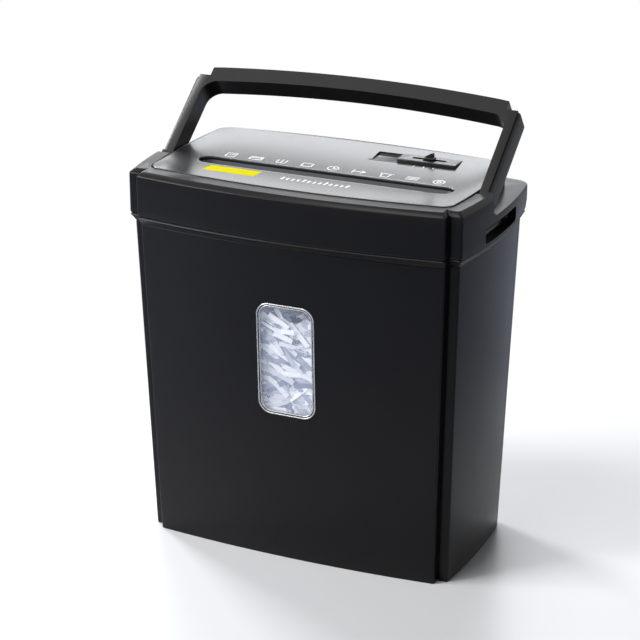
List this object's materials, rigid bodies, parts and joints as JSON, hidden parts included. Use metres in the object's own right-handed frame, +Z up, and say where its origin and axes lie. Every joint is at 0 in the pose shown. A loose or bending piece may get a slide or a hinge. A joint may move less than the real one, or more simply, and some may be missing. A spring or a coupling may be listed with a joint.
{
  "type": "paper shredder",
  "caption": "Cross-cut paper shredder: a motor head with a feed throat, mode switch and fold-back carry handle lifts off a tapered waste bin with a window.",
  "frame": {"origin": "middle of the base, on the surface the bin stands on", "axes": "+X to the right seen from the front, +Y to the back, +Z up"},
  "size_m": [0.318, 0.196, 0.3998],
  "materials": {
    "black_casing": "satin black moulded plastic",
    "black_panel": "satin black moulded plastic, smoother",
    "handle_black": "satin black moulded plastic",
    "throat_grey": "dark grey moulded plastic",
    "window_silver": "bright silver plated plastic",
    "window_clear": "clear moulded plastic",
    "paper_shreds": "loose white cross-cut shreds",
    "knob_black": "fine matt black",
    "frame_steel": "zinc plated sheet steel",
    "shaft_steel": "ground steel bar",
    "cutter_steel": "hardened steel, oiled",
    "fixing_steel": "zinc plated",
    "bronze": "sintered bronze",
    "gear_steel": "sintered steel, oiled",
    "gear_nylon": "natural nylon, greased",
    "comb_grey": "grey moulded plastic",
    "motor_steel": "plated steel can",
    "motor_black": "black moulded end cap",
    "rotor_copper": "wound copper and steel laminations",
    "board_green": "solder-masked glass fibre board",
    "capacitor_blue": "printed sleeve",
    "relay_blue": "moulded case",
    "cutout_cream": "moulded case",
    "switch_navy": "moulded switch case",
    "lever_white": "acetal"
  },
  "bodies": {
    "bin": {"bin_shell": "black_casing", "window_rim": "window_silver", "window_lens": "window_clear", "shredded_paper": "paper_shreds"},
    "head": {"upper_casing": "black_casing", "lower_casing": "black_casing", "top_panel": "black_panel", "throat_liner": "throat_grey", "switch_bezel": "black_panel", "switch_body": "switch_navy", "handle_pins": "shaft_steel", "side_frame_left": "frame_steel", "side_frame_right": "frame_steel", "tie_rods": "shaft_steel", "rod_nuts": "fixing_steel", "shaft_bushes": "bronze", "stripper_front": "comb_grey", "stripper_rear": "comb_grey", "gear_axle": "shaft_steel", "motor_can": "motor_steel", "motor_end_cap": "motor_black", "motor_screws": "fixing_steel", "thermal_cutout": "cutout_cream", "control_board": "board_green", "board_capacitor": "capacitor_blue", "board_relay": "relay_blue", "lever_switch": "switch_navy", "plunger_spring": "fixing_steel", "interlock_switch": "switch_navy", "cord_gland": "black_casing", "casing_screws": "fixing_steel"},
    "handle": {"handle_bail": "handle_black"},
    "knob": {"mode_knob": "knob_black"},
    "rear_cutter": {"rear_shaft": "shaft_steel", "rear_cutters": "cutter_steel", "rear_spacers": "gear_steel", "rear_timing_gear": "gear_steel", "drive_gear": "gear_nylon"},
    "front_cutter": {"front_shaft": "shaft_steel", "front_cutters": "cutter_steel", "front_spacers": "gear_steel", "front_timing_gear": "gear_steel"},
    "idler": {"reduction_gear": "gear_nylon"},
    "rotor": {"motor_rotor": "rotor_copper", "motor_pinion": "gear_steel"},
    "lever": {"paper_lever": "lever_white"},
    "plunger": {"interlock_plunger": "lever_white"}
  },
  "joints": [
    {"name": "head_lift", "type": "slide", "parent": "bin", "child": "head", "axis": [0, 0, 1], "range_m": [0, 0.06]},
    {"name": "handle_hinge", "type": "hinge", "parent": "head", "child": "handle", "pos_m": [0, -0.012, 0.32825], "axis": [1, 0, 0], "range_deg": [-38.3, 51.7]},
    {"name": "mode_slide", "type": "slide", "parent": "head", "child": "knob", "axis": [1, 0, 0], "range_m": [-0.009, 0.009]},
    {"name": "rear_cutter_spin", "type": "hinge", "parent": "head", "child": "rear_cutter", "pos_m": [0, 0.0047, 0.2754], "axis": [1, 0, 0], "continuous": true},
    {"name": "front_cutter_spin", "type": "hinge", "parent": "head", "child": "front_cutter", "pos_m": [0, -0.0293, 0.2754], "axis": [1, 0, 0], "continuous": true},
    {"name": "idler_spin", "type": "hinge", "parent": "head", "child": "idler", "pos_m": [0, 0.03083, 0.27792], "axis": [1, 0, 0], "continuous": true},
    {"name": "motor_spin", "type": "hinge", "parent": "head", "child": "rotor", "pos_m": [0, 0.03998, 0.3014], "axis": [1, 0, 0], "continuous": true},
    {"name": "paper_lever_tip", "type": "hinge", "parent": "head", "child": "lever", "pos_m": [0, -0.0013, 0.3058], "axis": [1, 0, 0], "range_deg": [0, 20], "stiffness_Nm_per_rad": 0.002, "springref_deg": -17.19},
    {"name": "interlock_press", "type": "slide", "parent": "head", "child": "plunger", "axis": [0, 0, 1], "range_m": [0, 0.0035], "stiffness_N_per_m": 150, "springref_m": -0.004, "deforming": ["plunger_spring"]}
  ],
  "couplings": [
    {"joint": "front_cutter_spin", "follows": "rear_cutter_spin", "ratio": -1},
    {"joint": "idler_spin", "follows": "rear_cutter_spin", "ratio": -2.5},
    {"joint": "motor_spin", "follows": "rear_cutter_spin", "ratio": 9.1667}
  ]
}
